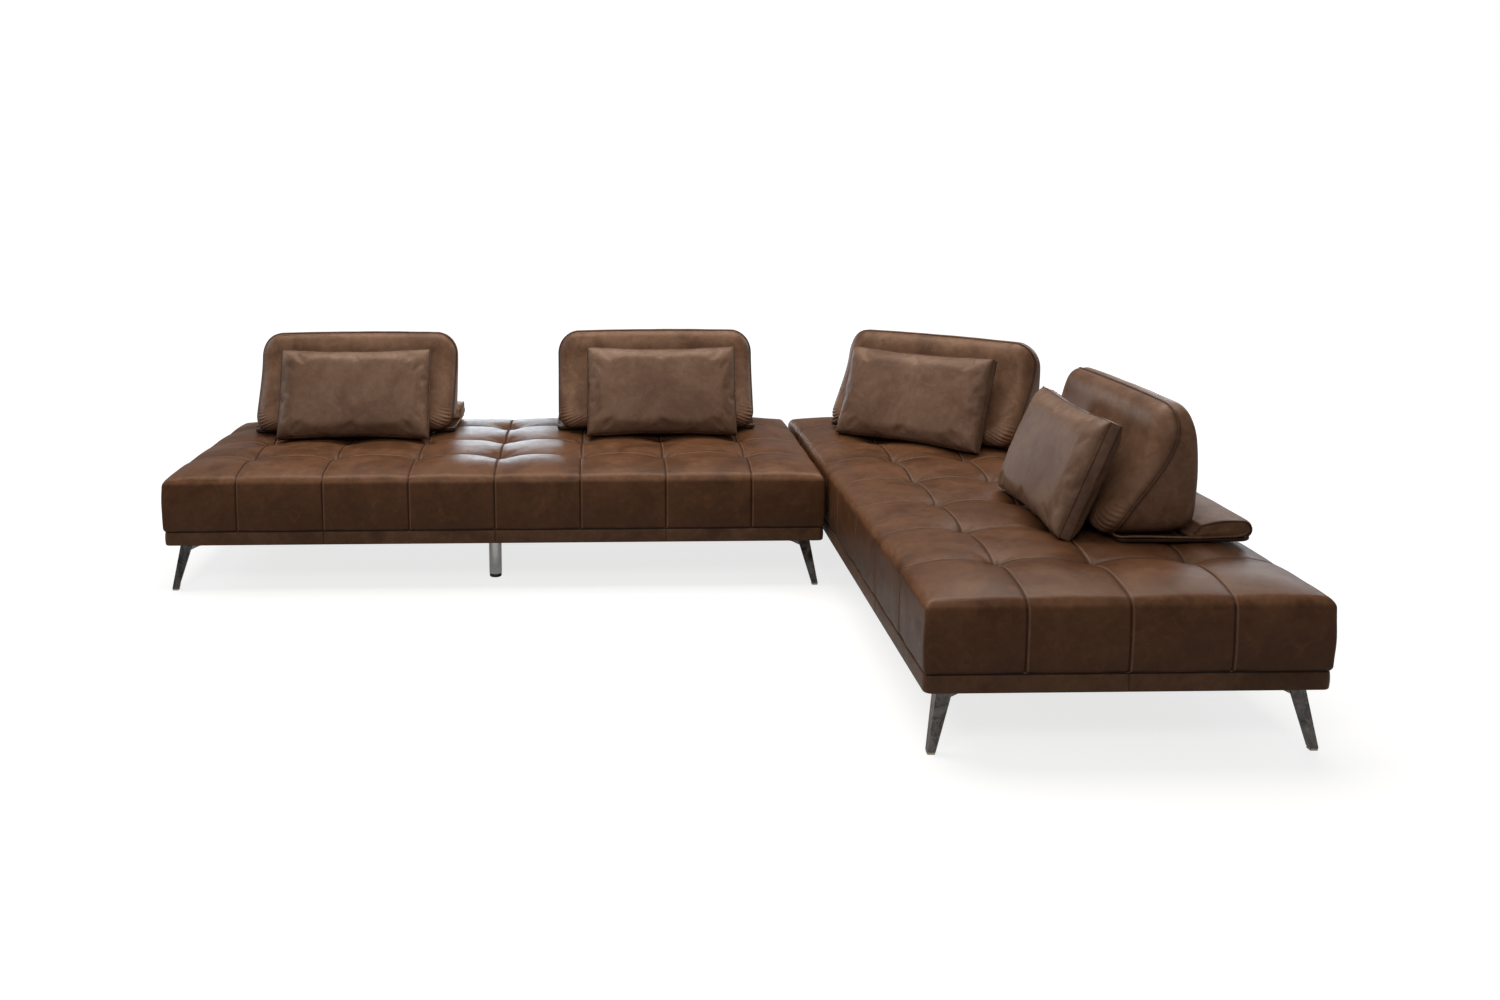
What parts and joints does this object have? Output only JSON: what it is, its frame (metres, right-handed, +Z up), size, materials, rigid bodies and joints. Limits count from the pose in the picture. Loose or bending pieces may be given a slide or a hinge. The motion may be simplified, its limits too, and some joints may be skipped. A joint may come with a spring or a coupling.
{
  "type": "corner sofa",
  "caption": "Low corner sofa with tufted leather seat modules in an L, free-standing reclining backrests and loose lumbar pillows on cast metal legs.",
  "frame": {"origin": "on the floor, under the middle of the rectangle that encloses the L", "axes": "+X along the long module towards the corner, +Y towards the back of the long module, +Z up; the side module runs forward along -Y at the +X end"},
  "size_m": [3.3634, 2.35, 0.818],
  "materials": {
    "seat_leather": "satin",
    "back_leather": "satin",
    "pillow_leather": "satin",
    "rail_leather": "satin",
    "board_leather": "satin",
    "frame_timber": "matte",
    "webbing_fabric": "matte",
    "seat_foam": "matte",
    "cast_metal": "polished",
    "post_chrome": "polished",
    "glide_felt": "matte",
    "foot_rubber": "matte",
    "steel_fitting": "satin"
  },
  "bodies": {
    "sofa": {"long_frame": "frame_timber", "long_rail_wrap": "rail_leather", "long_webbing": "webbing_fabric", "long_foam": "seat_foam", "long_seat_cover": "seat_leather", "long_leg_front_left": "cast_metal", "long_glide_front_left": "glide_felt", "long_leg_front_right": "cast_metal", "long_glide_front_right": "glide_felt", "long_leg_rear_right": "cast_metal", "long_glide_rear_right": "glide_felt", "long_leg_rear_left": "cast_metal", "long_glide_rear_left": "glide_felt", "long_post_front": "post_chrome", "long_post_foot_front": "foot_rubber", "long_post_rear": "post_chrome", "long_post_foot_rear": "foot_rubber", "side_frame": "frame_timber", "side_rail_wrap": "rail_leather", "side_webbing": "webbing_fabric", "side_foam": "seat_foam", "side_seat_cover": "seat_leather", "side_leg_front_left": "cast_metal", "side_glide_front_left": "glide_felt", "side_leg_front_right": "cast_metal", "side_glide_front_right": "glide_felt", "side_leg_rear_right": "cast_metal", "side_glide_rear_right": "glide_felt", "side_leg_rear_left": "cast_metal", "side_glide_rear_left": "glide_felt", "side_post_front": "post_chrome", "side_post_foot_front": "foot_rubber", "side_post_rear": "post_chrome", "side_post_foot_rear": "foot_rubber", "link_tongue": "steel_fitting", "link_catch": "steel_fitting"},
    "base_1": {"back_1_base_board": "board_leather", "back_1_base_pad": "back_leather", "back_1_hinge_bracket": "steel_fitting"},
    "back_1": {"back_1_steel_frame": "steel_fitting", "back_1_cushion": "back_leather"},
    "pillow_1": {"back_1_pillow": "pillow_leather"},
    "base_2": {"back_2_base_board": "board_leather", "back_2_base_pad": "back_leather", "back_2_hinge_bracket": "steel_fitting"},
    "back_2": {"back_2_steel_frame": "steel_fitting", "back_2_cushion": "back_leather"},
    "pillow_2": {"back_2_pillow": "pillow_leather"},
    "base_3": {"back_3_base_board": "board_leather", "back_3_base_pad": "back_leather", "back_3_hinge_bracket": "steel_fitting"},
    "back_3": {"back_3_steel_frame": "steel_fitting", "back_3_cushion": "back_leather"},
    "pillow_3": {"back_3_pillow": "pillow_leather"},
    "base_4": {"back_4_base_board": "board_leather", "back_4_base_pad": "back_leather", "back_4_hinge_bracket": "steel_fitting"},
    "back_4": {"back_4_steel_frame": "steel_fitting", "back_4_cushion": "back_leather"},
    "pillow_4": {"back_4_pillow": "pillow_leather"}
  },
  "joints": [
    {"name": "back_1_slide", "type": "slide", "parent": "sofa", "child": "base_1", "axis": [0, -1, 0], "range_m": [0, 0.25]},
    {"name": "back_1_recline", "type": "hinge", "parent": "base_1", "child": "back_1", "pos_m": [-1.12462, 0.94797, 0.505], "axis": [-1, 0, 0], "range_deg": [0, 25]},
    {"name": "pillow_1_lift", "type": "slide", "parent": "back_1", "child": "pillow_1", "axis": [0, 0, 1], "range_m": [0, 0.4]},
    {"name": "back_2_slide", "type": "slide", "parent": "sofa", "child": "base_2", "axis": [0, -1, 0], "range_m": [0, 0.25]},
    {"name": "back_2_recline", "type": "hinge", "parent": "base_2", "child": "back_2", "pos_m": [0.07041, 0.96902, 0.505], "axis": [-1, 0, 0], "range_deg": [0, 25]},
    {"name": "pillow_2_lift", "type": "slide", "parent": "back_2", "child": "pillow_2", "axis": [0, 0, 1], "range_m": [0, 0.4]},
    {"name": "back_3_slide", "type": "slide", "parent": "sofa", "child": "base_3", "axis": [-0.6561, -0.7547, 0], "range_m": [0, 0.2]},
    {"name": "back_3_recline", "type": "hinge", "parent": "base_3", "child": "back_3", "pos_m": [1.19298, 0.7323, 0.505], "axis": [-0.7547, 0.6561, 0], "range_deg": [0, 25]},
    {"name": "pillow_3_lift", "type": "slide", "parent": "back_3", "child": "pillow_3", "axis": [0, 0, 1], "range_m": [0, 0.4]},
    {"name": "back_4_slide", "type": "slide", "parent": "sofa", "child": "base_4", "axis": [-1, 0, 0], "range_m": [0, 0.25]},
    {"name": "back_4_recline", "type": "hinge", "parent": "base_4", "child": "back_4", "pos_m": [1.45833, -0.41196, 0.505], "axis": [0, 1, 0], "range_deg": [0, 25]},
    {"name": "pillow_4_lift", "type": "slide", "parent": "back_4", "child": "pillow_4", "axis": [0, 0, 1], "range_m": [0, 0.4]}
  ]
}
